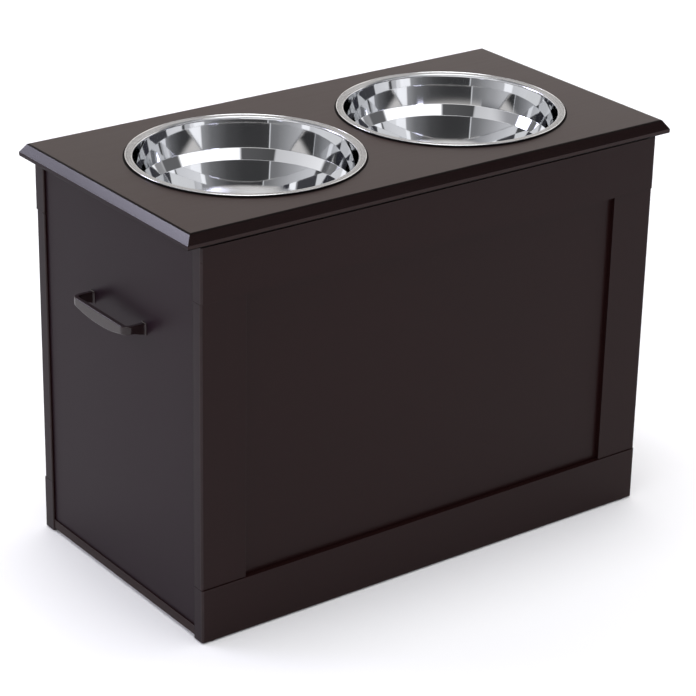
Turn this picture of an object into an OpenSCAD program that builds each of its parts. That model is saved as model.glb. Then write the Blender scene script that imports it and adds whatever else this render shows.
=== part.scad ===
// Elevated pet feeder with a storage cabinet under a hinged lid.
// Millimetres. X runs along the long front (+X to the right), Y to the back,
// Z up. The origin is on the floor, at the middle of the whole object.

/* [Lid] */
// Length of the lid board, left to right
lid_l = 600; // [592:1:620]
// Depth of the lid board, front to back
lid_w = 310; // [309:1:316]
// Thickness of the lid board
lid_t = 14; // [13:0.5:18]
// Height of the bevel round the top edge
bevel_h = 9.5; // [5:0.5:10]
// Width of the bevel round the top edge
bevel_w = 6.5; // [4:0.5:9]
// Clearance between the cabinet and the closed lid
lid_gap = 2; // [2:0.1:2.4]

/* [Bowls] */
// Distance from the middle of the lid to each bowl's centre
bowl_x = 130; // [124:1:134]
// Outer radius of a bowl's rim
rim_r = 120.5; // [118:0.5:122]
// Radius of the round hole in the lid
hole_r = 113.8; // [113.6:0.1:115]
// Depth of the bowl's floor below the lid's top face
bowl_depth = 88; // [83:1:96]
// Sheet thickness of a bowl
bowl_t = 0.8; // [0.6:0.1:1.2]

/* [Cabinet] */
// Length of the cabinet over the front frame
cab_l = 568; // [560:1:576]
// Depth of the cabinet over the front and rear frames
cab_d = 304; // [300:1:306]
// Height of the cabinet's top edge above the floor
cab_h = 421.5; // [400:0.5:460]
// Height of the top rails
top_rail_h = 57; // [54:0.5:70]
// Height of the bottom rails
bottom_rail_h = 58.5; // [54:0.5:70]
// Width of each stile
stile_w = 52; // [46:1:60]
// Thickness of each rail
rail_t = 16; // [16:0.5:18]
// How far the front stiles sit behind the front rails
front_step = 1; // [0.5:0.5:1.5]
// How far the rear stiles sit inside the rear rails
rear_step = 2; // [1:0.5:2]
// Thickness of the recessed panels
panel_t = 5; // [4:0.5:5]
// How far a recessed panel's face lies behind its stiles
recess = 5; // [4:0.5:5]
// Thickness of the side panels
side_t = 15; // [15:1:16]
// How far the side panels sit inside the frame ends
side_set = 2.8; // [2:0.1:3.5]
// How far the bottom panel's ends sit inside the frame ends
bottom_set = 1.2; // [0.8:0.1:1.8]
// Thickness of the bottom panel
bottom_t = 10; // [10:0.5:12]
// Height of the bottom panel's underside above the floor
bottom_z = 4.3; // [3:0.1:6]
// Thickness of the foot pads
pad_t = 1.5; // [1:0.1:2]

/* [Handles] */
// Distance between the two screws of a handle
handle_pitch = 96; // [90:2:112]
// How far a handle stands out from the side panel
handle_out = 24; // [22:1:28]
// Thickness of the grip
grip_t = 5; // [4:0.5:6]
// Height of the grip's middle
grip_h = 14; // [12:0.5:16]
// Height of the handle's straight top edge above the floor
handle_z = 309.5; // [290:0.5:320]

/* [Lid hinges] */
// Distance from the middle to each hinge
hinge_x = 200; // [180:1:210]
// Length of a hinge
hinge_l = 50; // [50:1:60]
// Outer radius of a hinge knuckle
knuckle_r = 2.2; // [2.1:0.1:2.3]
// Radius of a hinge pin
hinge_pin_r = 1.1; // [1:0.05:1.2]

/* [Hidden] */
$fn = 64;

lacquer = "#3a2c2a";
steel = "#c9cbd0";
zinc = "#a8a9ad";
beech = "#c79f6a";
rubber = "#1b1b1c";

fy = cab_d / 2;                  // front and rear faces of the rails
fi = fy - rail_t;                // inner faces of both frames
cx = cab_l / 2;                  // ends of the frames
sx = cx - side_set;              // outer face of a side panel
si = sx - side_t;                // inner face of a side panel
sm = (sx + si) / 2;              // middle of a side panel's thickness
six = cx - stile_w;              // inner edge of a stile
lo_z = pad_t + bottom_rail_h;    // top edge of the bottom rails
hi_z = cab_h - top_rail_h;       // bottom edge of the top rails
lid_z = cab_h + lid_gap;         // underside of the lid
top_z = lid_z + lid_t;           // top face of the lid
hinge_z = cab_h + lid_gap / 2;   // hinge axis, in the middle of the gap
leaf_t = 0.9;                    // thickness of a hinge leaf
leaf_y = fy - 8.5;               // row of hinge screws
cl = 0.05;                       // clearance round a fastener in its hole
groove_in = 8;                   // depth of a panel groove
panel_in = 7;                    // how far a panel enters its groove
cam_y = fi - 24;                 // centre of a cam lock from the middle
cam_lo = 30;                     // height of the lower cams
cam_hi = cab_h - 30;             // height of the upper cams
dowel_z = [140, 300];            // heights of the side dowels
fd_y = fi + 7.5;                 // row of the dowels between rails and stiles
fd_x = [six + 18, six + 38];     // their places along a stile's end
end_z = handle_z - 5.5;          // height of the handle screws
wall_a = 14.56;                  // lean of a bowl's lower wall
knee_a = wall_a + 9;             // its lean where it turns into the floor
sweep_r = 80;                    // radius of the gentle sweep between both
sweep_c = [95.85 - sweep_r * cos(wall_a), -68 + sweep_r * sin(wall_a)];
knee = sweep_c + sweep_r * [cos(knee_a), -sin(knee_a)];
foot_r = (bowl_depth + knee[1]) / (1 - sin(knee_a));   // radius at the floor's edge
foot_c = knee + foot_r * [-cos(knee_a), sin(knee_a)];

// ---- small repeated shapes ----

// A bar between two corners
module bar(a, b) { translate(a) cube([b[0] - a[0], b[1] - a[1], b[2] - a[2]]); }

// A round hole or rod along Y, from y0 to y1
module rod_y(x, z, y0, y1, r) { translate([x, y0, z]) rotate([-90, 0, 0]) cylinder(r = r, h = y1 - y0); }

// A round hole or rod along Z, from z0 to z1
module rod_z(x, y, z0, z1, r) { translate([x, y, z0]) cylinder(r = r, h = z1 - z0); }

// A round hole or rod along X, from x0 to x1
module rod_x(y, z, x0, x1, r) { translate([x0, y, z]) rotate([0, 90, 0]) cylinder(r = r, h = x1 - x0); }

// Copies of a right-hand child on both sides, and of a rear right child at all four corners
module sides() { for (a = [0, 1]) mirror([a, 0, 0]) children(); }
module ends() { for (a = [0, 1]) for (b = [0, 1]) mirror([a, 0, 0]) mirror([0, b, 0]) children(); }

// ---- lid ----

module lid_blank() {
    a = lid_l / 2; b = lid_w / 2; e = lid_t - bevel_h;
    intersection() {
        translate([0, b, 0]) rotate([90, 0, 0]) linear_extrude(lid_w)
            polygon([[-a, 0], [a, 0], [a, e], [a - bevel_w, lid_t], [-a + bevel_w, lid_t], [-a, e]]);
        translate([-a, 0, 0]) rotate([90, 0, 90]) linear_extrude(lid_l)
            polygon([[-b, 0], [b, 0], [b, e], [b - bevel_w, lid_t], [-b + bevel_w, lid_t], [-b, e]]);
    }
}

module lid_board() {
    color(lacquer) difference() {
        translate([0, 0, lid_z]) lid_blank();
        for (s = [-1, 1]) rod_z(s * bowl_x, 0, lid_z - 1, top_z + 1, hole_r);
        for (s = [-1, 1]) {
            // recess for the hinge knuckles, open at the rear
            bar([s * hinge_x - hinge_l / 2 - 1.4, fy - 2.5, lid_z - 1],
                [s * hinge_x + hinge_l / 2 + 1.4, lid_w / 2 + 1, hinge_z + 2.5]);
            for (d = [-17, 0, 17]) rod_z(s * hinge_x + d, leaf_y, lid_z - 1, lid_z + 10.5, 1.5 + cl);
        }
    }
}

// ---- bowls ----

// Half profile of the spun sheet: inside line out to the rim, then back under it.
// Heights are measured from the lid's top face.
// Straight upper and lower walls with a crease pair between them; the lower wall
// then sweeps in gently and turns into the floor.
function arc_pts(c, r, a0, a1, n) = [for (i = [0:n]) let (a = a0 + (a1 - a0) * i / n) [c[0] + r * cos(a), c[1] + r * sin(a)]];
function bowl_line(t) = concat(
    [[0, -bowl_depth - t]],
    arc_pts(foot_c, foot_r + t, -90, -knee_a, 5),
    arc_pts(sweep_c, sweep_r + t, -knee_a, -wall_a, 3),
    [[102.6 + t, -42 - t * 0.3], [109 + t, -31 - t * 0.3]],
    arc_pts([115.1, -1], 3.1 - t, 180, 90, 5));

module bowl_sheet() {
    rotate_extrude($fn = 96) union() {
        polygon(concat(bowl_line(0), [[rim_r - 1, 2.1], [rim_r - 1, 2.1 - bowl_t]],
                       [for (i = [len(bowl_line(0)) - 1:-1:0]) bowl_line(bowl_t)[i]]));
    }
    rotate_extrude($fn = 96) translate([rim_r - 1.05, 1.35]) circle(r = 1.05, $fn = 24);
}

module bowl_left() { color(steel) translate([-bowl_x, 0, top_z]) bowl_sheet(); }
module bowl_right() { color(steel) translate([bowl_x, 0, top_z]) bowl_sheet(); }

// ---- frames: f is -1 for the front and +1 for the rear ----

function stile_y(f) = f < 0 ? fy - front_step : fy - rear_step;   // outer face of a stile
function panel_y(f) = stile_y(f) - recess;                        // outer face of a panel

// Groove for the recessed panel along a rail's inner edge
module rail_groove(f, z0, z1) {
    y0 = panel_y(f) - panel_t - 0.1;
    y1 = panel_y(f) + 0.1;
    bar([-six - groove_in, f < 0 ? -y1 : y0, z0], [six + groove_in, f < 0 ? -y0 : y1, z1]);
}

module rail_holes(f, zc, zd0, zd1) {
    sides() {
        // cam bolt
        rod_y(sm, zc, f < 0 ? -fi - 12 : fi - 1, f < 0 ? -fi + 1 : fi + 12, 2.5 + cl);
        // dowels into the stiles
        for (x = fd_x) rod_z(x, f * fd_y, zd0, zd1, 4 + cl);
    }
}

module top_rail(f) {
    difference() {
        bar([-cx, f < 0 ? -fy : fi, hi_z], [cx, f < 0 ? -fi : fy, cab_h]);
        rail_groove(f, hi_z - 1, hi_z + groove_in);
        rail_holes(f, cam_hi, hi_z - 1, hi_z + 20.5);
    }
}

module bottom_rail(f) {
    difference() {
        bar([-cx, f < 0 ? -fy : fi, pad_t], [cx, f < 0 ? -fi : fy, lo_z]);
        rail_groove(f, lo_z - groove_in, lo_z + 1);
        rail_holes(f, cam_lo, lo_z - 20.5, lo_z + 1);
        for (x = [-190, 0, 190])
            rod_y(x, bottom_z + bottom_t / 2, f < 0 ? -fi - 12.3 : fi - 1, f < 0 ? -fi + 1 : fi + 12.3, 3 + cl);
    }
}

// s is -1 for the left and +1 for the right
module stile(f, s) {
    y0 = panel_y(f) - panel_t - 0.1;
    y1 = panel_y(f) + 0.1;
    mirror([s < 0 ? 1 : 0, 0, 0]) difference() {
        bar([six, f < 0 ? -stile_y(f) : fi, lo_z], [cx, f < 0 ? -fi : stile_y(f), hi_z]);
        bar([six - 1, f < 0 ? -y1 : y0, lo_z - 1], [six + groove_in, f < 0 ? -y0 : y1, hi_z + 1]);
        for (x = fd_x) {
            rod_z(x, f * fd_y, lo_z - 1, lo_z + 20.5, 4 + cl);
            rod_z(x, f * fd_y, hi_z - 20.5, hi_z + 1, 4 + cl);
        }
        for (z = dowel_z) rod_y(sm, z, f < 0 ? -fi - 11 : fi - 1, f < 0 ? -fi + 1 : fi + 11, 4 + cl);
    }
}

module recessed_panel(f) {
    y0 = panel_y(f) - panel_t;
    y1 = panel_y(f);
    bar([-six - panel_in, f < 0 ? -y1 : y0, lo_z - panel_in], [six + panel_in, f < 0 ? -y0 : y1, hi_z + panel_in]);
}

module front_top_rail() { color(lacquer) top_rail(-1); }
module front_bottom_rail() { color(lacquer) bottom_rail(-1); }
module front_left_stile() { color(lacquer) stile(-1, -1); }
module front_right_stile() { color(lacquer) stile(-1, 1); }
module front_panel() { color(lacquer) recessed_panel(-1); }

module rear_top_rail() {
    color(lacquer) difference() {
        top_rail(1);
        for (s = [-1, 1]) {
            // recess for the hinge knuckles in the top rear edge
            bar([s * hinge_x - hinge_l / 2 - 1.4, fy - 2.5, hinge_z - 2.5],
                [s * hinge_x + hinge_l / 2 + 1.4, fy + 1, cab_h + 1]);
            for (d = [-17, 0, 17]) rod_z(s * hinge_x + d, leaf_y, cab_h - 14.5, cab_h + 1, 1.5 + cl);
        }
    }
}
module rear_bottom_rail() { color(lacquer) bottom_rail(1); }
module rear_left_stile() { color(lacquer) stile(1, -1); }
module rear_right_stile() { color(lacquer) stile(1, 1); }
module rear_panel() { color(lacquer) recessed_panel(1); }

// ---- side and bottom panels ----

module side_panel() {
    difference() {
        bar([si, -fi, bottom_z + bottom_t], [sx, fi, cab_h]);
        for (f = [0, 1]) mirror([0, f, 0]) {
            for (z = [cam_lo, cam_hi]) {
                // pocket for the cam lock, open inwards, and the bolt's hole from the edge
                rod_x(cam_y, z, si - 1, si + 12.2, 7.5);
                rod_y(sm, z, cam_y, fi + 1, 4);
            }
            for (z = dowel_z) rod_y(sm, z, fi - 18.5, fi + 1, 4 + cl);
        }
        for (y = [-handle_pitch / 2, handle_pitch / 2]) rod_x(y, end_z, si - 1, sx + 1, 2.2);
        for (y = [-80, 0, 80]) rod_z(sm, y, bottom_z + bottom_t - 1, bottom_z + 34.5, 2 + cl);
    }
}
module left_side_panel() { color(lacquer) mirror([1, 0, 0]) side_panel(); }
module right_side_panel() { color(lacquer) side_panel(); }

module bottom_panel() {
    bx = cx - bottom_set;
    color(lacquer) difference() {
        bar([-bx, -fi, bottom_z], [bx, fi, bottom_z + bottom_t]);
        for (a = [-1, 1]) for (y = [-80, 0, 80]) {
            rod_z(a * sm, y, bottom_z - 1, bottom_z + bottom_t + 1, 2.2);
            translate([a * sm, y, bottom_z - 0.01]) cylinder(r1 = 4.1, r2 = 2, h = 2.4);
        }
        for (f = [0, 1]) mirror([0, f, 0]) for (x = [-190, 0, 190])
            rod_y(x, bottom_z + bottom_t / 2, fi - 12.3, fi + 1, 3 + cl);
    }
}

// ---- handles ----

// Rounded rectangle from exact squares and circles
module round_rect(x0, y0, x1, y1, r) {
    translate([x0 + r, y0]) square([x1 - x0 - 2 * r, y1 - y0]);
    translate([x0, y0 + r]) square([x1 - x0, y1 - y0 - 2 * r]);
    for (x = [x0 + r, x1 - r]) for (y = [y0 + r, y1 - r]) translate([x, y]) circle(r = r);
}

// Right-hand handle: two legs and a grip whose lower edge is bowed down
module handle() {
    h = handle_pitch / 2 + 4;                 // half length over the legs
    belly = 5.5;                              // how far the lower edge is bowed
    br = (h * h + belly * belly) / (2 * belly);
    difference() {
        union() {
            intersection() {
                translate([0, 0, handle_z - grip_h]) linear_extrude(grip_h) difference() {
                    round_rect(sx - 20, -h, sx + handle_out, h, 8);
                    round_rect(sx - 16, -h + 8, sx + handle_out - grip_t, h - 8, 4);
                    translate([sx - 30, -h - 1]) square([30, 2 * h + 2]);
                }
                rod_x(0, handle_z - grip_h + br, sx - 1, sx + handle_out + 1, br, $fn = 128);
            }
            // widened feet
            for (s = [-1, 1]) bar([sx, s * (h - 4) - 5.2, end_z - 6.2], [sx + 1.6, s * (h - 4) + 5.2, end_z + 6.2]);
        }
        for (s = [-1, 1]) rod_x(s * handle_pitch / 2, end_z, sx - 1, sx + 9, 2 + cl);
    }
}
module left_handle() { color(lacquer) mirror([1, 0, 0]) handle(); }
module right_handle() { color(lacquer) handle(); }

// Machine screws from inside the cabinet, with a cross recess in each head
module handle_screws() {
    color(zinc) sides() for (y = [-handle_pitch / 2, handle_pitch / 2]) difference() {
        union() {
            rod_x(y, end_z, si - 2.4, si, 4);
            rod_x(y, end_z, si - 1, sx + 8, 2);
        }
        bar([si - 3, y - 0.4, end_z - 2.2], [si - 1.2, y + 0.4, end_z + 2.2]);
        bar([si - 3, y - 2.2, end_z - 0.4], [si - 1.2, y + 2.2, end_z + 0.4]);
    }
}

// ---- hinges: the axis runs along X at the cabinet's rear face ----

seg = hinge_l / 5;
// Part of a hinge that holds the knuckles whose numbers are in ks;
// up is 1 for the lid leaf and 0 for the frame leaf
module leaf(up, ks, bore) {
    z0 = up ? lid_z - leaf_t : cab_h;
    difference() {
        union() {
            bar([-hinge_l / 2, fy - 14.5, z0], [hinge_l / 2, fy - 2.6, z0 + leaf_t]);
            for (k = ks) {
                x0 = -hinge_l / 2 + k * seg + (k > 0 ? 0.15 : 0);
                x1 = -hinge_l / 2 + (k + 1) * seg - (k < 4 ? 0.15 : 0);
                bar([x0, fy - 3, z0], [x1, fy - 0.6, z0 + leaf_t]);
                rod_x(fy, hinge_z, x0, x1, knuckle_r);
            }
        }
        rod_x(fy, hinge_z, -hinge_l / 2 - 1, hinge_l / 2 + 1, bore);
        for (d = [-17, 0, 17]) {
            rod_z(d, leaf_y, z0 - 1, z0 + leaf_t + 1, 1.7);
            translate([d, leaf_y, up ? lid_z - leaf_t - 0.01 : cab_h - 0.01])
                cylinder(r1 = up ? 2.65 : 1.7, r2 = up ? 1.7 : 2.65, h = leaf_t + 0.02);
        }
    }
}
module hinge_frame_leaves() {
    color(zinc) for (s = [-1, 1]) translate([s * hinge_x, 0, 0]) leaf(0, [0, 2, 4], hinge_pin_r + 0.02);
}
module hinge_lid_leaves() {
    color(zinc) for (s = [-1, 1]) translate([s * hinge_x, 0, 0]) leaf(1, [1, 3], hinge_pin_r + 0.06);
}
module hinge_pins() {
    color(zinc) for (s = [-1, 1]) translate([s * hinge_x, 0, 0]) {
        rod_x(fy, hinge_z, -hinge_l / 2 - 0.9, hinge_l / 2 + 0.9, hinge_pin_r);
        for (e = [-1, 1]) rod_x(fy, hinge_z, e < 0 ? -hinge_l / 2 - 0.9 : hinge_l / 2 + 0.1,
                                e < 0 ? -hinge_l / 2 - 0.1 : hinge_l / 2 + 0.9, 1.8);
    }
}

// A countersunk screw, point down, with the flat of its head at z = 0
module flat_screw(head_r, shank_r, head_h, length) {
    difference() {
        union() {
            translate([0, 0, -head_h]) cylinder(r1 = shank_r, r2 = head_r, h = head_h);
            translate([0, 0, -length + 2]) cylinder(r = shank_r, h = length - 2 - head_h / 2);
            translate([0, 0, -length]) cylinder(r1 = 0.4, r2 = shank_r, h = 2.01);
        }
        bar([-head_r * 0.55, -0.3, -0.5], [head_r * 0.55, 0.3, 1]);
        bar([-0.3, -head_r * 0.55, -0.5], [0.3, head_r * 0.55, 1]);
    }
}
module hinge_frame_screws() {
    color(zinc) for (s = [-1, 1]) for (d = [-17, 0, 17])
        translate([s * hinge_x + d, leaf_y, cab_h + leaf_t]) flat_screw(2.55, 1.5, leaf_t + 0.1, 14.5);
}
module hinge_lid_screws() {
    color(zinc) for (s = [-1, 1]) for (d = [-17, 0, 17])
        translate([s * hinge_x + d, leaf_y, lid_z - leaf_t]) mirror([0, 0, 1]) flat_screw(2.55, 1.5, leaf_t + 0.1, 11);
}

// ---- cabinet joinery ----

// Cam lock: a disc with a bay for the bolt's head and a cross slot
module cam_locks() {
    color(zinc) ends() for (z = [cam_lo, cam_hi]) difference() {
        rod_x(cam_y, z, si, si + 12, 7.4);
        rod_y(sm, z, cam_y - 1.5, cam_y + 9, 3.8);
        bar([si - 1, cam_y - 0.6, z - 4.5], [si + 1.6, cam_y + 0.6, z + 4.5]);
        bar([si - 1, cam_y - 4.5, z - 0.6], [si + 1.6, cam_y + 4.5, z + 0.6]);
    }
}
module cam_bolts() {
    color(zinc) ends() for (z = [cam_lo, cam_hi]) {
        rod_y(sm, z, cam_y, cam_y + 3, 3.3);
        rod_y(sm, z, cam_y + 2.9, fi - 3, 2);
        rod_y(sm, z, fi - 3.1, fi, 3.4);
        rod_y(sm, z, fi - 0.1, fi + 11.5, 2.5);
    }
}
module side_dowels() { color(beech) ends() for (z = dowel_z) rod_y(sm, z, fi - 18, fi + 10.7, 4); }
module frame_dowels() {
    color(beech) ends() for (x = fd_x) for (z = [lo_z, hi_z]) rod_z(x, fd_y, z - 20, z + 20, 4);
}
module bottom_dowels() {
    color(beech) for (f = [0, 1]) mirror([0, f, 0]) for (x = [-190, 0, 190])
        rod_y(x, bottom_z + bottom_t / 2, fi - 12, fi + 12, 3);
}
module bottom_screws() {
    color(zinc) for (a = [-1, 1]) for (y = [-80, 0, 80])
        translate([a * sm, y, bottom_z]) mirror([0, 0, 1]) flat_screw(3.9, 2, 2.2, 34);
}

// ---- rubber ----

module lid_bumpers() {
    color(rubber) sides() {
        rod_z(sm, -fy + 8, cab_h, cab_h + lid_gap - 0.1, 4.5);
        rod_z(sm, 0, cab_h, cab_h + lid_gap - 0.1, 4.5);
    }
}
module foot_pads() { color(rubber) ends() rod_z(sm - 3, fy - 8, 0, pad_t, 6.5); }

lid_board();
bowl_left();
bowl_right();
front_top_rail();
front_bottom_rail();
front_left_stile();
front_right_stile();
front_panel();
rear_top_rail();
rear_bottom_rail();
rear_left_stile();
rear_right_stile();
rear_panel();
left_side_panel();
right_side_panel();
bottom_panel();
left_handle();
right_handle();
handle_screws();
hinge_frame_leaves();
hinge_lid_leaves();
hinge_pins();
hinge_frame_screws();
hinge_lid_screws();
cam_locks();
cam_bolts();
side_dowels();
frame_dowels();
bottom_dowels();
bottom_screws();
lid_bumpers();
foot_pads();
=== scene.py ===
import math
import bpy
import bmesh
from mathutils import Vector, Matrix


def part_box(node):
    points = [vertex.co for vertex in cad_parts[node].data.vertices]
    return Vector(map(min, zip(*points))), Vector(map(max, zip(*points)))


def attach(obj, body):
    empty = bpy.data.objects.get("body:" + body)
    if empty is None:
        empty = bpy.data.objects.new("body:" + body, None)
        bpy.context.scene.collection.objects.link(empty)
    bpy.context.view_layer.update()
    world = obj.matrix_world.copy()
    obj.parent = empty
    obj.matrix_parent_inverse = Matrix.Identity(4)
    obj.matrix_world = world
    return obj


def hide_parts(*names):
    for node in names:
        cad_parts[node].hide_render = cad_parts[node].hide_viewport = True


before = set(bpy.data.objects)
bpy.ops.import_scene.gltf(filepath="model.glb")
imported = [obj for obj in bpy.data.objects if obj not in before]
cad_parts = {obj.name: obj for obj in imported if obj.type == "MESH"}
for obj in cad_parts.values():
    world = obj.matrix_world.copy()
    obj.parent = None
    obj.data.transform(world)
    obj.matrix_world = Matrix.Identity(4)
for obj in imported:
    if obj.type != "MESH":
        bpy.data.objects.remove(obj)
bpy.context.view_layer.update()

scene = bpy.context.scene
MM = 0.001
TOP_Z = 437.5            # top face of the lid, mm
SIDE_X = 281.2           # outer face of a side panel, mm
HANDLE_Z = 309.5         # straight top edge of the handles, mm

# ---------------------------------------------------------------- node helpers


class Tree:
    """A small helper for building node trees."""

    def __init__(self, tree):
        self.t = tree
        self.n = tree.nodes
        self.l = tree.links

    def add(self, kind, **props):
        node = self.n.new(kind)
        for k, v in props.items():
            setattr(node, k, v)
        return node

    def put(self, socket, value):
        if isinstance(value, bpy.types.NodeSocket):
            self.l.new(value, socket)
        elif value is not None:
            socket.default_value = value

    def math(self, op, a, b=None, c=None, clamp=False):
        node = self.add("ShaderNodeMath", operation=op, use_clamp=clamp)
        self.put(node.inputs[0], a)
        if b is not None:
            self.put(node.inputs[1], b)
        if c is not None:
            self.put(node.inputs[2], c)
        return node.outputs[0]

    def smooth(self, value, lo, hi, out_lo=0.0, out_hi=1.0):
        node = self.add("ShaderNodeMapRange", interpolation_type="SMOOTHSTEP")
        self.put(node.inputs["Value"], value)
        node.inputs["From Min"].default_value = lo
        node.inputs["From Max"].default_value = hi
        node.inputs["To Min"].default_value = out_lo
        node.inputs["To Max"].default_value = out_hi
        return node.outputs["Result"]

    def linear(self, value, lo, hi, out_lo, out_hi):
        node = self.add("ShaderNodeMapRange")
        self.put(node.inputs["Value"], value)
        node.inputs["From Min"].default_value = lo
        node.inputs["From Max"].default_value = hi
        node.inputs["To Min"].default_value = out_lo
        node.inputs["To Max"].default_value = out_hi
        return node.outputs["Result"]

    def mix(self, fac, a, b, mode="MIX"):
        node = self.add("ShaderNodeMix", data_type="RGBA", blend_type=mode)
        self.put(node.inputs["Factor"], fac)
        self.put(node.inputs["A"], a)
        self.put(node.inputs["B"], b)
        return node.outputs["Result"]

    def noise(self, vector, scale, detail=3.0, rough=0.5, distortion=0.0):
        node = self.add("ShaderNodeTexNoise")
        self.put(node.inputs["Vector"], vector)
        node.inputs["Scale"].default_value = scale
        node.inputs["Detail"].default_value = detail
        node.inputs["Roughness"].default_value = rough
        node.inputs["Distortion"].default_value = distortion
        return node.outputs["Fac"]

    def mapping(self, vector, scale=(1, 1, 1), loc=(0, 0, 0)):
        node = self.add("ShaderNodeMapping")
        self.put(node.inputs["Vector"], vector)
        node.inputs["Scale"].default_value = scale
        node.inputs["Location"].default_value = loc
        return node.outputs["Vector"]

    def bump(self, height, strength, distance, normal=None):
        node = self.add("ShaderNodeBump")
        self.put(node.inputs["Height"], height)
        node.inputs["Strength"].default_value = strength
        node.inputs["Distance"].default_value = distance
        if normal is not None:
            self.put(node.inputs["Normal"], normal)
        return node.outputs["Normal"]

    def tint(self, tone, base):
        node = self.add("ShaderNodeCombineColor")
        for i, c in enumerate(("Red", "Green", "Blue")):
            self.put(node.inputs[c], self.math("MULTIPLY", tone, base[i]))
        return node.outputs["Color"]


def new_material(name):
    m = bpy.data.materials.new(name)
    m.use_nodes = True
    m.node_tree.nodes.clear()
    t = Tree(m.node_tree)
    out = t.add("ShaderNodeOutputMaterial")
    bsdf = t.add("ShaderNodeBsdfPrincipled")
    t.l.new(bsdf.outputs["BSDF"], out.inputs["Surface"])
    coord = t.add("ShaderNodeTexCoord").outputs["Object"]
    return m, t, bsdf, coord


# ---------------------------------------------------------------- materials

BROWN = (0.0142, 0.0044, 0.0043)


def lacquer(name, grain_axis, base=BROWN, rough=0.35, seed=0.0, grain_amount=0.05, ior=1.22, rim_shadow=False):
    """Sprayed satin lacquer on a board: a ghost of grain along one axis, a fine
    orange peel and slow changes of tone and sheen. The flag for the bowls adds a
    painted shadow: a dull dark ring on the lid round each bowl, under the steel rim."""
    m, t, bsdf, coord = new_material(name)
    stretch = [300.0, 300.0, 300.0]
    stretch[grain_axis] = 6.0
    grain = t.noise(t.mapping(coord, stretch, (seed, seed * 2.3, seed * 0.7)), 1.0, 5.0, 0.62, 0.15)
    peel = t.noise(coord, 480.0, 2.0, 0.5)
    cloud = t.noise(t.mapping(coord, (1, 1, 1), (3.1, 0.4, 1.7)), 4.5, 3.0, 0.55)
    tone = t.math("ADD", t.linear(cloud, 0.3, 0.7, 0.95, 1.05), t.linear(grain, 0.25, 0.75, -grain_amount, grain_amount))
    r = t.math("ADD", t.linear(cloud, 0.3, 0.7, rough - 0.02, rough + 0.02),
               t.linear(grain, 0.3, 0.7, -0.015, 0.015))
    if rim_shadow:
        sep = t.add("ShaderNodeSeparateXYZ")
        t.put(sep.inputs[0], coord)
        x = t.math("SUBTRACT", t.math("ABSOLUTE", sep.outputs[0]), 0.130)
        rad = t.math("SQRT", t.math("ADD", t.math("MULTIPLY", x, x), t.math("MULTIPLY", sep.outputs[1], sep.outputs[1])))
        # painted shadow: the lid is darkened to a near-black ring just outside each bowl's rim
        rim_shade = t.smooth(t.math("ADD", rad, t.linear(cloud, 0.3, 0.7, -0.0002, 0.0002)), 0.1218, 0.1228, 1.0, 0.0)
        tone = t.math("MULTIPLY", tone, t.linear(rim_shade, 0.0, 1.0, 1.0, 0.12))
        r = t.math("MAXIMUM", r, t.math("MULTIPLY", rim_shade, 0.95))
    t.put(bsdf.inputs["Base Color"], t.tint(tone, base))
    t.put(bsdf.inputs["Roughness"], r)
    bsdf.inputs["IOR"].default_value = ior
    n1 = t.bump(peel, 0.10, 0.00005)
    t.put(bsdf.inputs["Normal"], t.bump(grain, 0.08, 0.00004, n1))
    return m


def rubbed(name, base=BROWN, ior=1.40):
    """The same lacquer on a rounded arris: thinner and rubbed a little brighter
    in patches."""
    m, t, bsdf, coord = new_material(name)
    patchy = t.smooth(t.noise(coord, 70.0, 4.0, 0.6), 0.35, 0.75)
    fine = t.noise(coord, 700.0, 2.0, 0.5)
    tone = t.math("ADD", t.linear(patchy, 0.0, 1.0, 0.95, 1.35), t.linear(fine, 0.3, 0.7, -0.06, 0.06))
    t.put(bsdf.inputs["Base Color"], t.tint(tone, base))
    t.put(bsdf.inputs["Roughness"], t.linear(patchy, 0.0, 1.0, 0.34, 0.27))
    bsdf.inputs["IOR"].default_value = ior
    t.put(bsdf.inputs["Normal"], t.bump(fine, 0.08, 0.00004))
    return m


def steel(name, rough, centre, base, line_bump, line_scale=900.0, floor_rough_and_shade=None):
    """Spun stainless steel with faint turning lines round the bowl. With a floor roughness given, the bowl's floor is
    also rougher and painted darker: painted shade.
    """
    m, t, bsdf, coord = new_material(name)
    sep = t.add("ShaderNodeSeparateXYZ")
    t.put(sep.inputs[0], t.mapping(coord, (1, 1, 1), (-centre, 0, 0)))
    x, y, z = sep.outputs[0], sep.outputs[1], sep.outputs[2]
    rad = t.math("SQRT", t.math("ADD", t.math("MULTIPLY", x, x), t.math("MULTIPLY", y, y)))
    line = t.add("ShaderNodeCombineXYZ")
    t.put(line.inputs[0], t.math("MULTIPLY", rad, line_scale))
    t.put(line.inputs[1], t.math("MULTIPLY", t.math("ARCTAN2", y, x), 1.3))
    t.put(line.inputs[2], t.math("MULTIPLY", z, line_scale))
    turn = t.noise(line.outputs[0], 1.0, 3.0, 0.6)
    smear = t.noise(coord, 14.0, 4.0, 0.6)
    bsdf.inputs["Metallic"].default_value = 1.0
    tone = t.linear(smear, 0.3, 0.7, 0.975, 1.025)
    if floor_rough_and_shade is not None:
        # painted shade: the steel's colour falls to about a quarter on the bowl's floor
        tone = t.math("MULTIPLY", tone, t.smooth(z, (TOP_Z - 84.0) * MM, (TOP_Z - 87.5) * MM, 1.0, 0.26))
    t.put(bsdf.inputs["Base Color"], t.tint(tone, base))
    r = t.math("ADD", t.linear(smear, 0.3, 0.7, rough * 0.85, rough * 1.15),
               t.linear(turn, 0.3, 0.7, -rough * 0.12, rough * 0.12))
    if floor_rough_and_shade is not None:
        r = t.math("MAXIMUM", r, t.smooth(z, (TOP_Z - 64.0) * MM, (TOP_Z - 73.0) * MM, 0.0, floor_rough_and_shade))
    t.put(bsdf.inputs["Roughness"], r)
    t.put(bsdf.inputs["Normal"], t.bump(turn, line_bump, 0.00002))
    return m


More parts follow.
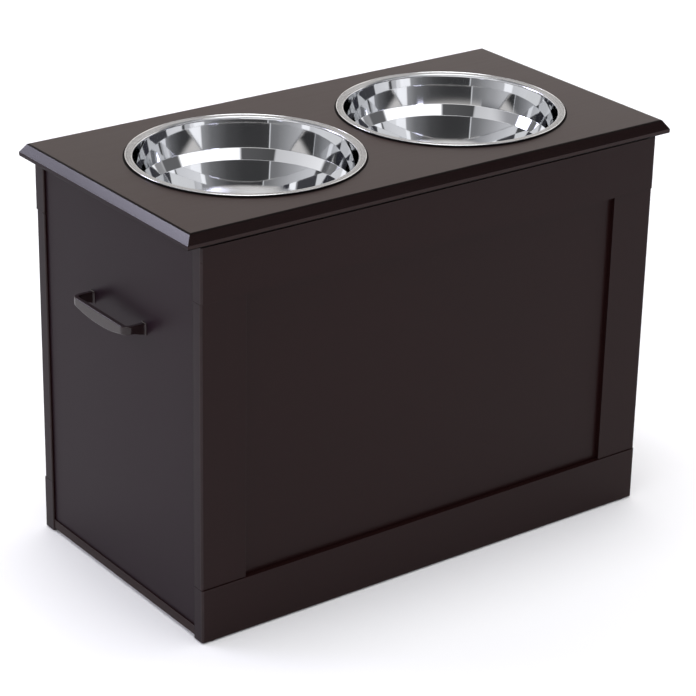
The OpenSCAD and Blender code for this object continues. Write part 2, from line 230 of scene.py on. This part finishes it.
def zinc_plate(name):
    m, t, bsdf, coord = new_material(name)
    spot = t.noise(coord, 420.0, 3.0, 0.6)
    cloud = t.noise(coord, 90.0, 2.0, 0.5)
    t.put(bsdf.inputs["Base Color"], t.mix(t.smooth(cloud, 0.35, 0.65), (0.50, 0.50, 0.52, 1), (0.66, 0.66, 0.66, 1)))
    bsdf.inputs["Metallic"].default_value = 1.0
    t.put(bsdf.inputs["Roughness"], t.linear(spot, 0.3, 0.7, 0.24, 0.40))
    t.put(bsdf.inputs["Normal"], t.bump(spot, 0.08, 0.00005))
    return m


def rubber(name):
    m, t, bsdf, coord = new_material(name)
    fine = t.noise(coord, 1500.0, 3.0, 0.6)
    dust = t.noise(coord, 120.0, 4.0, 0.65)
    t.put(bsdf.inputs["Base Color"], t.mix(t.smooth(dust, 0.5, 0.8), (0.014, 0.014, 0.015, 1), (0.035, 0.034, 0.033, 1)))
    t.put(bsdf.inputs["Roughness"], t.linear(fine, 0.3, 0.7, 0.66, 0.82))
    t.put(bsdf.inputs["Normal"], t.bump(fine, 0.25, 0.00008))
    return m


def turned_beech(name):
    m, t, bsdf, coord = new_material(name)
    grain = t.noise(t.mapping(coord, (60, 900, 900)), 1.0, 4.0, 0.6)
    t.put(bsdf.inputs["Base Color"], t.mix(t.smooth(grain, 0.3, 0.7), (0.52, 0.34, 0.19, 1), (0.66, 0.47, 0.29, 1)))
    t.put(bsdf.inputs["Roughness"], t.linear(grain, 0.3, 0.7, 0.5, 0.65))
    t.put(bsdf.inputs["Normal"], t.bump(grain, 0.2, 0.0001))
    return m


LAC_X = lacquer("lacquer_along_x", 0, seed=0.4)
LAC_Y = lacquer("lacquer_along_y", 1, seed=1.9)
LAC_Z = lacquer("lacquer_along_z", 2, seed=3.3)
# Painted light: the side panels and the boards' end faces get cooler, lighter copies of the lacquer for the cool light
# falling on the sides.
LAC_SIDE = lacquer("lacquer_side_painted_cool_light", 2, base=(0.0150, 0.0078, 0.0115), seed=4.6, ior=1.17)
LAC_END = lacquer("lacquer_board_end_painted_light", 2, base=(0.0170, 0.0098, 0.0125), seed=2.7, ior=1.19)
ARRIS = rubbed("lacquer_arris", base=(0.0165, 0.0070, 0.0075), ior=1.33)
# Painted light: the lid gets a lighter, warmer copy of the lacquer for the light on its top; its bowl flag adds the
# painted shadow rings.
LAC_TOP = lacquer("lacquer_lid_top_painted_light", 0, base=(0.0200, 0.0076, 0.0068), seed=6.2, ior=1.27, rim_shadow=True)
# Painted light and shade on the lid's bevels: a darker copy for the front and back bevels, and a lighter, cooler copy
# (also glossier) for the end bevels.
BEVEL = lacquer("lacquer_bevel_painted_shade", 0, base=(0.0080, 0.0027, 0.0026), rough=0.22, seed=7.7, grain_amount=0.03, ior=1.25)
BEVEL_END = lacquer("lacquer_end_bevel_painted_light", 1, base=(0.0120, 0.0060, 0.0065), rough=0.22, seed=8.1, grain_amount=0.02, ior=1.55)
# Painted shade: a near-black lacquer for fine dark shade lines along chosen edges.
EDGE = lacquer("lacquer_painted_shade_edge", 0, base=(0.0040, 0.0018, 0.0018), rough=0.45, seed=9.3, ior=1.15)
LAC_H = lacquer("lacquer_handle", 1, base=(0.017, 0.0090, 0.0098), rough=0.20, seed=5.1, grain_amount=0.015, ior=1.40)
ZINC = zinc_plate("zinc_plate")
RUBBER = rubber("black_rubber")
BEECH = turned_beech("turned_beech")

# ---------------------------------------------------------------- boards


def link(name, me, materials, angle=28.0, weighted=True):
    ob = bpy.data.objects.new(name, me)
    scene.collection.objects.link(ob)
    for m in materials:
        me.materials.append(m)
    me.shade_smooth()
    me.set_sharp_from_angle(angle=math.radians(angle))
    if weighted:
        w = ob.modifiers.new("even_shading", "WEIGHTED_NORMAL")
        w.mode = "FACE_AREA"
        w.weight = 100
        w.keep_sharp = True
    return ob


def board_with_wear_and_painted_shade(name, node, body, material, slot, width, special=(), shorten=None, bevelled=False):
    """A finished board: the node's own shape with every sharp arris rounded.
    special lists (pick, width, material index) for edges with a rounding of
    their own; index 2 paints a dark shade line along them. End faces and the
    lid's bevels get lighter or darker copies of the lacquer: painted light and shade."""
    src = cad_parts[node]
    bm = bmesh.new()
    bm.from_mesh(src.data)
    bmesh.ops.remove_doubles(bm, verts=bm.verts, dist=2e-6)
    bmesh.ops.dissolve_limit(bm, angle_limit=math.radians(0.5), verts=bm.verts, edges=bm.edges)
    if shorten:
        shorten(bm)
    for pick, wide, index in special:
        chosen = [e for e in bm.edges if len(e.link_faces) == 2 and e.calc_face_angle(0.0) > 0.5 and pick(e)]
        bmesh.ops.bevel(bm, geom=chosen, offset=wide, offset_type="OFFSET", segments=4, profile=0.5, material=index,
                        affect="EDGES", clamp_overlap=True)
    sharp = [e for e in bm.edges if len(e.link_faces) == 2 and e.calc_face_angle(0.0) > math.radians(32.0)]
    bmesh.ops.bevel(bm, geom=sharp, offset=width, offset_type="OFFSET", segments=3, profile=0.5, material=1,
                    affect="EDGES", clamp_overlap=True, miter_outer="ARC")
    bmesh.ops.triangulate(bm, faces=[f for f in bm.faces if len(f.verts) > 4], quad_method="BEAUTY", ngon_method="BEAUTY")
    bmesh.ops.recalc_face_normals(bm, faces=bm.faces)
    me = bpy.data.meshes.new(name)
    bm.to_mesh(me)
    bm.free()
    ob = link(name, me, (material, ARRIS, EDGE, LAC_SIDE, BEVEL, BEVEL_END) if bevelled else (material, ARRIS, EDGE, LAC_END))
    # Faces sorted by the way they face get the painted light and shade copies: the lid's bevels get the darker or the
    # lighter bevel lacquer, and end faces get the cooler, lighter one.
    for p in me.polygons:
        if p.material_index:
            continue
        if bevelled and 0.4 < p.normal.z < 0.75:
            p.material_index = 5 if abs(p.normal.x) > 0.5 else 4
        elif abs(p.normal.x) > 0.9 and abs(p.center.x) > 283.5 * MM:
            p.material_index = 3
    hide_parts(node)
    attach(ob, body)
    return ob


def upright_at(x, y, tol=0.3 * MM):
    """Picks the vertical edges at a place in plan."""
    def pick(e):
        a, b = e.verts[0].co, e.verts[1].co
        return (abs(a.x - b.x) < 1e-5 and abs(a.y - b.y) < 1e-5 and abs(abs(a.x) - x) < tol and abs(a.y - y) < tol)
    return pick


def flat_edge(z, tol=0.1 * MM):
    """Picks the level outer edges at a height."""
    def pick(e):
        a, b = e.verts[0].co, e.verts[1].co
        outer = max(abs(a.x), abs(b.x)) > 283 * MM or max(abs(a.y), abs(b.y)) > 149 * MM
        return abs(a.z - z) < tol and abs(b.z - z) < tol and outer
    return pick


def short_ends(amount):
    """Pulls the top and bottom of an upright in, for a fine dark joint."""
    def act(bm):
        bm.normal_update()
        faces = [f for f in bm.faces if abs(f.normal.z) > 0.9 and f.calc_area() > 100 * MM * MM]
        low = min(f.calc_center_median().z for f in faces)
        high = max(f.calc_center_median().z for f in faces)
        for v in bm.verts:
            if abs(v.co.z - low) < 1e-5:
                v.co.z += amount
            elif abs(v.co.z - high) < 1e-5:
                v.co.z -= amount
    return act


def slot_beside(y, amount):
    """Pulls the end faces at y back, so that a fine dark joint is left there."""
    def act(bm):
        for v in bm.verts:
            if abs(v.co.y - y) < 1e-5:
                v.co.y -= math.copysign(amount, y)
    return act


BOARDS = {
    "front_top_rail": LAC_X, "front_bottom_rail": LAC_X, "front_left_stile": LAC_Z, "front_right_stile": LAC_Z,
    "front_panel": LAC_X, "rear_top_rail": LAC_X, "rear_bottom_rail": LAC_X, "rear_left_stile": LAC_Z,
    "rear_right_stile": LAC_Z, "rear_panel": LAC_X, "left_side_panel": LAC_SIDE, "right_side_panel": LAC_SIDE,
    "bottom_panel": LAC_X,
}
for node, mat in BOARDS.items():
    kw = {}
    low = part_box(node)[0][2]
    # Material index 2 paints a dark shade line: on the front uprights at the side panels' joint, on the rear outer
    # corners and on the bottom rail's lower edge.
    if node.startswith("front"):
        face = -151 if "stile" in node else -152
        kw = dict(special=[(upright_at(284 * MM, face * MM), 2.2 * MM, 1), (upright_at(284 * MM, -136 * MM), 2.2 * MM, 2)])
    elif node.startswith("rear"):
        face = 150 if "stile" in node else 152
        kw = dict(special=[(upright_at(284 * MM, face * MM), 1.0 * MM, 2), (upright_at(284 * MM, 136 * MM), 1.5 * MM, 1)])
    if "stile" in node:
        kw["shorten"] = short_ends(0.45 * MM)
    elif "bottom_rail" in node:
        kw["special"].append((flat_edge(low), 2.2 * MM, 2))
    elif "side_panel" in node:
        kw = dict(shorten=slot_beside(136 * MM, 0.35 * MM))
    elif "panel" in node:
        kw = {}
    board_with_wear_and_painted_shade("board_" + node, node, "cabinet", mat, "lacquered_board", 0.45 * MM, **kw)
# The lid's top and lower outer edges get index 2: a painted dark shade line.
board_with_wear_and_painted_shade("board_lid", "lid_board", "lid", LAC_TOP, "lacquered_board", 0.4 * MM, bevelled=True,
           special=[(flat_edge(TOP_Z * MM), 1.3 * MM, 2), (flat_edge((TOP_Z - 14.0) * MM), 1.3 * MM, 2)])

# ---------------------------------------------------------------- bowls


def arc(cx, cz, r, a0, a1, n):
    return [(cx + r * math.cos(math.radians(a0 + (a1 - a0) * i / n)), cz + r * math.sin(math.radians(a0 + (a1 - a0) * i / n)))
            for i in range(n + 1)]


def soften(points, radii, steps=6):
    """Rounds the corners of a profile; a radius of 0 leaves a corner."""
    out = [points[0]]
    for i in range(1, len(points) - 1):
        r = radii.get(i, 0.0)
        if r == 0.0:
            out.append(points[i])
            continue
        p, a, b = Vector(points[i]), Vector(points[i - 1]), Vector(points[i + 1])
        u, v = (a - p).normalized(), (b - p).normalized()
        half = u.angle(v) / 2
        cut = r / math.tan(half)
        centre = p + (u + v).normalized() * (r / math.sin(half))
        s, e = p + u * cut, p + v * cut
        out.append(tuple(s + u * 0.35))
        for k in range(steps + 1):
            d = (s - centre).lerp(e - centre, k / steps).normalized() * r
            out.append(tuple(centre + d))
        out.append(tuple(e + v * 0.35))
    out.append(points[-1])
    return out


def lathe(name, profile, segments, centre):
    bm = bmesh.new()
    rings = []
    for r, z in profile:
        if r < 1e-6:
            rings.append([bm.verts.new((centre[0] * MM, centre[1] * MM, (centre[2] + z) * MM))])
        else:
            rings.append([bm.verts.new(((centre[0] + r * math.cos(2 * math.pi * i / segments)) * MM,
                                        (centre[1] + r * math.sin(2 * math.pi * i / segments)) * MM,
                                        (centre[2] + z) * MM)) for i in range(segments)])
    for a, b in zip(rings, rings[1:]):
        for i in range(segments):
            j = (i + 1) % segments
            if len(a) == 1:
                bm.faces.new((a[0], b[j], b[i]))
            elif len(b) == 1:
                bm.faces.new((a[i], a[j], b[0]))
            else:
                bm.faces.new((a[i], a[j], b[j], b[i]))
    bmesh.ops.recalc_face_normals(bm, faces=bm.faces)
    me = bpy.data.meshes.new(name)
    bm.to_mesh(me)
    bm.free()
    return me


DEPTH = -88.0
LEAN, KNEE, SWEEP = 14.56, 23.56, 80.0          # lean of the lower wall, at the knee, and the sweep between


def bowl_profile():
    rad = math.radians
    sc = (95.85 - SWEEP * math.cos(rad(LEAN)), -68.0 + SWEEP * math.sin(rad(LEAN)))
    knee = (sc[0] + SWEEP * math.cos(rad(KNEE)), sc[1] - SWEEP * math.sin(rad(KNEE)))
    fr = (knee[1] - DEPTH) / (1 - math.sin(rad(KNEE)))
    fc = (knee[0] - fr * math.cos(rad(KNEE)), knee[1] + fr * math.sin(rad(KNEE)))
    inside = [(0.0, DEPTH), (12, DEPTH), (30, DEPTH), (50, DEPTH), (66, DEPTH), (76, DEPTH)]
    inside += arc(fc[0], fc[1], fr, -90, -KNEE, 12)
    inside += arc(sc[0], sc[1], SWEEP, -KNEE, -LEAN, 10)[1:]
    inside += soften([(95.85, -68.0), (102.6, -42.0), (109.0, -31.0), (111.95, -1.9)], {1: 0.8, 2: 0.8})[1:]
    rim = arc(115.1, -1.0, 3.1, 178, 90, 14)
    rim += [(116.2, 2.1), (117.6, 2.1), (118.9, 2.1)]
    rim += arc(119.75, 1.75, 0.66, 148, -60, 20)
    rim += [(119.9, 0.8), (119.85, 0.5), (119.6, 0.36), (119.2, 0.36)]
    under = [(118.9, 0.5), (118.7, 0.9), (118.2, 1.3), (116.5, 1.3)]
    under += arc(115.1, -1.0, 2.3, 90, 180, 8)
    outside = soften([(112.75, -1.9), (109.85, -31.3), (103.4, -42.3), (96.63, -68.2)], {1: 0.8, 2: 0.8})
    outside += arc(sc[0], sc[1], SWEEP + 0.8, -LEAN, -KNEE, 8)[1:]
    outside += arc(fc[0], fc[1], fr + 0.8, -KNEE, -90, 12)[1:]
    outside += [(60, DEPTH - 0.8), (30, DEPTH - 0.8), (0.0, DEPTH - 0.8)]
    return inside + rim + under + outside


# Painted shadow: a near-black material on the rim's underside and the skirt below its bead, for the shade under the
# rim.
RIM_SHADOW_LACQUER = lacquer("painted_shadow_rim_underside", 0, base=(0.0040, 0.0040, 0.0045), rough=0.55, seed=2.2, grain_amount=0.01, ior=1.15)
for side, bx in (("left", -130.0), ("right", 130.0)):
    node = "bowl_" + side
    mirror = steel("steel_mirror_" + side, 0.03, bx * MM, (0.735, 0.742, 0.752), 0.012, floor_rough_and_shade=0.30)
    satin = steel("steel_satin_" + side, 0.28, bx * MM, (0.40, 0.405, 0.415), 0.25, 2400.0)
    me = lathe("spun_" + node, bowl_profile(), 288, (bx, 0.0, TOP_Z))
    ob = link("spun_" + node, me, (mirror, satin, RIM_SHADOW_LACQUER), angle=40.0, weighted=False)
    for p in me.polygons:
        r = math.hypot(p.center.x / MM - bx, p.center.y / MM)
        z = p.center.z / MM - TOP_Z
        # the rim's underside gets the painted shadow material
        if r > 118.0 and z < 1.38 and p.normal.z < 0.5:
            p.material_index = 2
        else:
            p.material_index = 1 if (112.6 < r < 119.0 and z > 0.0) else 0
    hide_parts(node)
    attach(ob, node)

# ---------------------------------------------------------------- handles


def section(half, top, bottom, r_top, r_low, steps=4):
    """Closed outline of the bar: (across, height) points, anticlockwise."""
    pts = []
    for cx, cz, a0, r in ((half - r_top, top - r_top, 0, r_top), (-half + r_top, top - r_top, 90, r_top),
                          (-half + r_low, bottom + r_low, 180, r_low), (half - r_low, bottom + r_low, 270, r_low)):
        for k in range(steps + 1):
            a = math.radians(a0 + 90.0 * k / steps)
            pts.append((cx + r * math.cos(a), cz + r * math.sin(a)))
    return pts


def ease(t):
    t = max(0.0, min(1.0, t))
    return t * t * (3 - 2 * t)


def handle_mesh(name, side):
    """A bridge pull: two flared feet, round elbows and a bar whose lower edge
    is bowed. Built as one loft along its centre line."""
    out, foot_y, rad = 21.4, 48.0, 6.4
    stations = []           # (u, y, angle of travel, half thickness, top, bottom, r_top, r_low)
    top = HANDLE_Z

    def leg_low(u):
        return top - (8.6 + 3.2 * (1 - ease((u - 1.5) / (out - rad - 1.5))))

    def bar_low(y):
        k = min(1.0, abs(y) / 44.0)
        return top - (13.8 - 5.4 * k ** 2.2)

    # flange of the foot, then the leg
    stations += [(0.0, foot_y, 0, 4.1, top + 0.5, top - 12.4, 0.8, 0.8),
                 (0.55, foot_y, 0, 4.1, top + 0.5, top - 12.4, 0.8, 0.8),
                 (0.95, foot_y, 0, 3.8, top + 0.25, top - 12.1, 0.9, 0.9),
                 (1.35, foot_y, 0, 3.2, top, top - 11.8, 1.0, 1.0),
                 (2.1, foot_y, 0, 2.9, top, leg_low(2.1), 1.1, 1.1),
                 (3.4, foot_y, 0, 2.7, top, leg_low(3.4), 1.1, 1.2)]
    for i in range(1, 7):
        u = 3.4 + (out - rad - 3.4) * i / 6
        stations.append((u, foot_y, 0, 2.7 - 0.1 * i / 6, top, leg_low(u), 1.1, 1.2))
    n = 12
    low0 = leg_low(out - rad)
    for i in range(1, n):
        a = math.radians(90.0 * i / n)
        stations.append((out - rad + rad * math.sin(a), foot_y - rad + rad * math.cos(a), 90.0 * i / n, 2.6, top,
                         low0 + (bar_low(foot_y - rad) - low0) * ease(i / n), 1.1, 1.2))
    m = 22
    for i in range(m + 1):
        y = (foot_y - rad) * math.cos(math.pi * i / (2 * m)) if i < m else 0.0
        stations.append((out, y, 90.0, 2.6, top, bar_low(y), 1.1, 1.2))
    half = stations
    full = half + [(u, -y, 180.0 - a, h, t, b, r1, r2) for (u, y, a, h, t, b, r1, r2) in reversed(half[:-1])]
    bm = bmesh.new()
    rings = []
    for u, y, a, h, t, b, r1, r2 in full:
        # across the path, pointing to the outside of the loop
        nx, ny = math.sin(math.radians(a)), math.cos(math.radians(a))
        ring = [bm.verts.new((side * (SIDE_X + u + w * nx) * MM, (y + w * ny) * MM, z * MM))
                for w, z in section(h, t, b, r1, r2)]
        rings.append(ring)
    k = len(rings[0])
    for p, q in zip(rings, rings[1:]):
        for i in range(k):
            j = (i + 1) % k
            bm.faces.new((p[i], p[j], q[j], q[i]))
    bm.faces.new(rings[0])
    bm.faces.new(rings[-1])
    bmesh.ops.recalc_face_normals(bm, faces=bm.faces)
    me = bpy.data.meshes.new(name)
    bm.to_mesh(me)
    bm.free()
    return me


for side, s in (("left", -1.0), ("right", 1.0)):
    node = side + "_handle"
    ob = link("pull_" + side, handle_mesh("pull_" + side, s), (LAC_H,), angle=32.0)
    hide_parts(node)
    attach(ob, "cabinet")

# ---------------------------------------------------------------- hardware that stays as it is

for nodes, mat in ((("handle_screws", "hinge_frame_leaves", "hinge_lid_leaves", "hinge_pins", "hinge_frame_screws",
                     "hinge_lid_screws", "cam_locks", "cam_bolts", "bottom_screws"), ZINC),
                   (("side_dowels", "frame_dowels", "bottom_dowels"), BEECH),
                   (("lid_bumpers", "foot_pads"), RUBBER)):
    for node in nodes:
        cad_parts[node].data.materials.clear()
        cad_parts[node].data.materials.append(mat)

# ---------------------------------------------------------------- stage

bm = bmesh.new()
bmesh.ops.create_grid(bm, x_segments=1, y_segments=1, size=14.0)
me = bpy.data.meshes.new("floor")
bm.to_mesh(me)
bm.free()
floor = bpy.data.objects.new("floor", me)
scene.collection.objects.link(floor)
fm, t, bsdf, coord = new_material("floor_white")
bsdf.inputs["Base Color"].default_value = (0.94, 0.94, 0.96, 1)
bsdf.inputs["Roughness"].default_value = 0.9
bsdf.inputs["Specular IOR Level"].default_value = 0.0
bsdf.inputs["Emission Color"].default_value = (1.0, 1.0, 1.0, 1)
bsdf.inputs["Emission Strength"].default_value = 0.06
me.materials.append(fm)

# The studio: a plain room with softboxes and flags, painted by direction.
world = bpy.data.worlds.new("studio")
scene.world = world
world.use_nodes = True
world.node_tree.nodes.clear()
w = Tree(world.node_tree)
wout = w.add("ShaderNodeOutputWorld")
wbg = w.add("ShaderNodeBackground")
wsep = w.add("ShaderNodeSeparateXYZ")
w.l.new(w.add("ShaderNodeTexCoord").outputs["Generated"], wsep.inputs[0])
wx, wy, wz = wsep.outputs[0], wsep.outputs[1], wsep.outputs[2]
theta = w.math("MULTIPLY", w.math("ARCTAN2", wy, wx), 180 / math.pi)
phi = w.math("MULTIPLY", w.math("ARCSINE", wz), 180 / math.pi)


def turn_from(azimuth):
    """Signed angle in plan from an azimuth, -180 to 180 degrees."""
    return w.math("SUBTRACT", w.math("MODULO", w.math("ADD", theta, 540.0 - azimuth), 360.0), 180.0)


def window(azimuth, half, lo, hi, soft=6.0, soft_el=None):
    """A softbox or flag: how much of a direction lies in it."""
    se = soft if soft_el is None else soft_el
    d = w.math("ABSOLUTE", turn_from(azimuth))
    m1 = w.smooth(d, half - soft / 2, half + soft / 2, 1.0, 0.0)
    m2 = w.smooth(phi, lo - se / 2, lo + se / 2)
    m3 = w.smooth(phi, hi - se / 2, hi + se / 2, 1.0, 0.0)
    return w.math("MULTIPLY", m1, w.math("MULTIPLY", m2, m3))


def strip(azimuth, centre, sag, half, soft=1.2, soft_up=None):
    """A long narrow strip of wall that sinks away from one azimuth."""
    d = turn_from(azimuth)
    c = w.math("SUBTRACT", centre, w.math("MULTIPLY", w.math("MULTIPLY", d, d), sag))
    off = w.math("SUBTRACT", phi, c)
    low = w.smooth(w.math("MULTIPLY", off, -1.0), half - soft / 2, half + soft / 2, 1.0, 0.0)
    high = w.smooth(off, half - soft / 2, half - soft / 2 + (soft if soft_up is None else soft_up), 1.0, 0.0)
    return w.math("MULTIPLY", low, high)


def over(colour, mask, other):
    return w.mix(mask, colour, other)


def wall_tones(angle, stops):
    """Light on a strip as it goes round the room: (azimuth, radiance) stops."""
    ramp = w.add("ShaderNodeValToRGB")
    w.put(ramp.inputs["Fac"], w.linear(angle, -180.0, 180.0, 0.0, 1.0))
    cr = ramp.color_ramp
    cr.interpolation = "LINEAR"
    while len(cr.elements) > 1:
        cr.elements.remove(cr.elements[-1])
    stops = sorted(stops)
    for i, (az, v) in enumerate(stops):
        e = cr.elements[0] if i == 0 else cr.elements.new((az + 180.0) / 360.0)
        e.position = (az + 180.0) / 360.0
        e.color = (v / 2 * 0.99, v / 2 * 0.99, v / 2 * 1.02, 1)
    return w.mix(1.0, ramp.outputs["Color"], (2.0, 2.0, 2.0, 1), "MULTIPLY")


# going round the room: white walls, a lit doorway, a dark wall, a bright edge
ROOM = [(-180, 1.25), (-110, 1.0), (-70, 0.78), (-50, 0.6), (-12, 0.31), (2.6, 0.27), (3.2, 1.3), (4.8, 1.3), (5.4, 0.08),
        (25, 0.065), (60, 0.065), (95, 0.105), (131, 0.25), (152, 0.5), (155, 1.55), (176, 1.6), (180, 1.25)]
BAND = [(-180, 0.8), (-161, 0.7), (-159, 0.09), (-119, 0.12), (-116, 1.55), (-45, 1.6), (-42, 0.15), (-22, 0.15),
        (-19, 1.3), (30, 0.6), (126, 0.35), (129, 0.12), (138, 0.12), (141, 1.05), (180, 0.8)]

sky = w.mix(w.smooth(wz, 0.0, 1.0), (0.34, 0.34, 0.36, 1), (0.44, 0.44, 0.46, 1))
# front and right of the room, dark, with a flag in front of the bevel
sky = over(sky, window(-70.0, 70.0, -8, 26, 10), (0.06, 0.06, 0.075, 1))
sky = over(sky, window(-49.0, 14.0, 20, 48, 6), (0.06, 0.06, 0.075, 1))
# front left: a bright wall with a flag at its end
sky = over(sky, window(-150.0, 32.0, 12, 40, 6), (1.05, 1.05, 1.07, 1))
sky = over(sky, window(-94.0, 24.0, 19, 31.5, 3), (0.08, 0.08, 0.09, 1))
# back wall, bright: its sheen lies on the lid
sky = over(sky, window(50.0, 72.0, -8, 48, 16), (1.22, 1.17, 1.13, 1))
# softbox, back left and low
sky = over(sky, window(128.0, 13.0, 11, 31, 5), (8.5, 8.4, 10.6, 1))
# overhead softbox
sky = over(sky, window(0.0, 181.0, 72, 100, 5), (6.0, 6.0, 6.0, 1))
# strips that the polished bowls pick up
sky = over(sky, strip(54.0, 68.0, 0.00073, 3.4), wall_tones(w.math("ADD", w.math("MULTIPLY", theta, 0.894), 1.7), ROOM))
sky = over(sky, strip(54.0, 51.5, 0.0007, 3.4), wall_tones(theta, ROOM))
sky = over(sky, strip(-124.0, 41.0, 0.0021, 3.2), wall_tones(theta, BAND))
sky = over(sky, strip(54.0, 20.0, 0.00036, 2.3, 1.2, 1.6), wall_tones(theta, ROOM))
w.put(wbg.inputs["Color"], sky)
wbg.inputs["Strength"].default_value = 1.0
plain = w.add("ShaderNodeBackground")
plain.inputs["Color"].default_value = (1.0, 1.0, 1.0, 1)
seen = w.add("ShaderNodeMixShader")
w.l.new(w.add("ShaderNodeLightPath").outputs["Is Camera Ray"], seen.inputs[0])
w.l.new(wbg.outputs[0], seen.inputs[1])
w.l.new(plain.outputs[0], seen.inputs[2])
w.l.new(seen.outputs[0], wout.inputs[0])

scene.view_settings.view_transform = "Standard"
scene.view_settings.look = "None"

# ---------------------------------------------------------------- camera

AZ, EL, ROLL = math.radians(-36.863), math.radians(23.957), math.radians(1.194)
back = Vector((math.sin(AZ) * math.cos(EL), -math.cos(AZ) * math.cos(EL), math.sin(EL)))
right = Vector((math.cos(AZ), math.sin(AZ), 0.0))
up = back.cross(right)
r2 = right * math.cos(ROLL) + up * math.sin(ROLL)
u2 = -right * math.sin(ROLL) + up * math.cos(ROLL)
place = Vector((0, 0, 0.1815)) + (r2 * 1.857 + u2 * 12.274 + back * 2735.5) * MM
cam = bpy.data.cameras.new("camera")
cam.lens = 2572.94 / 696 * 36.0
cam.sensor_width = 36.0
cam.clip_start, cam.clip_end = 0.05, 60.0
camera = bpy.data.objects.new("camera", cam)
camera.matrix_world = Matrix(((r2.x, u2.x, back.x, place.x), (r2.y, u2.y, back.y, place.y),
                              (r2.z, u2.z, back.z, place.z), (0, 0, 0, 1)))
scene.collection.objects.link(camera)
scene.camera = camera
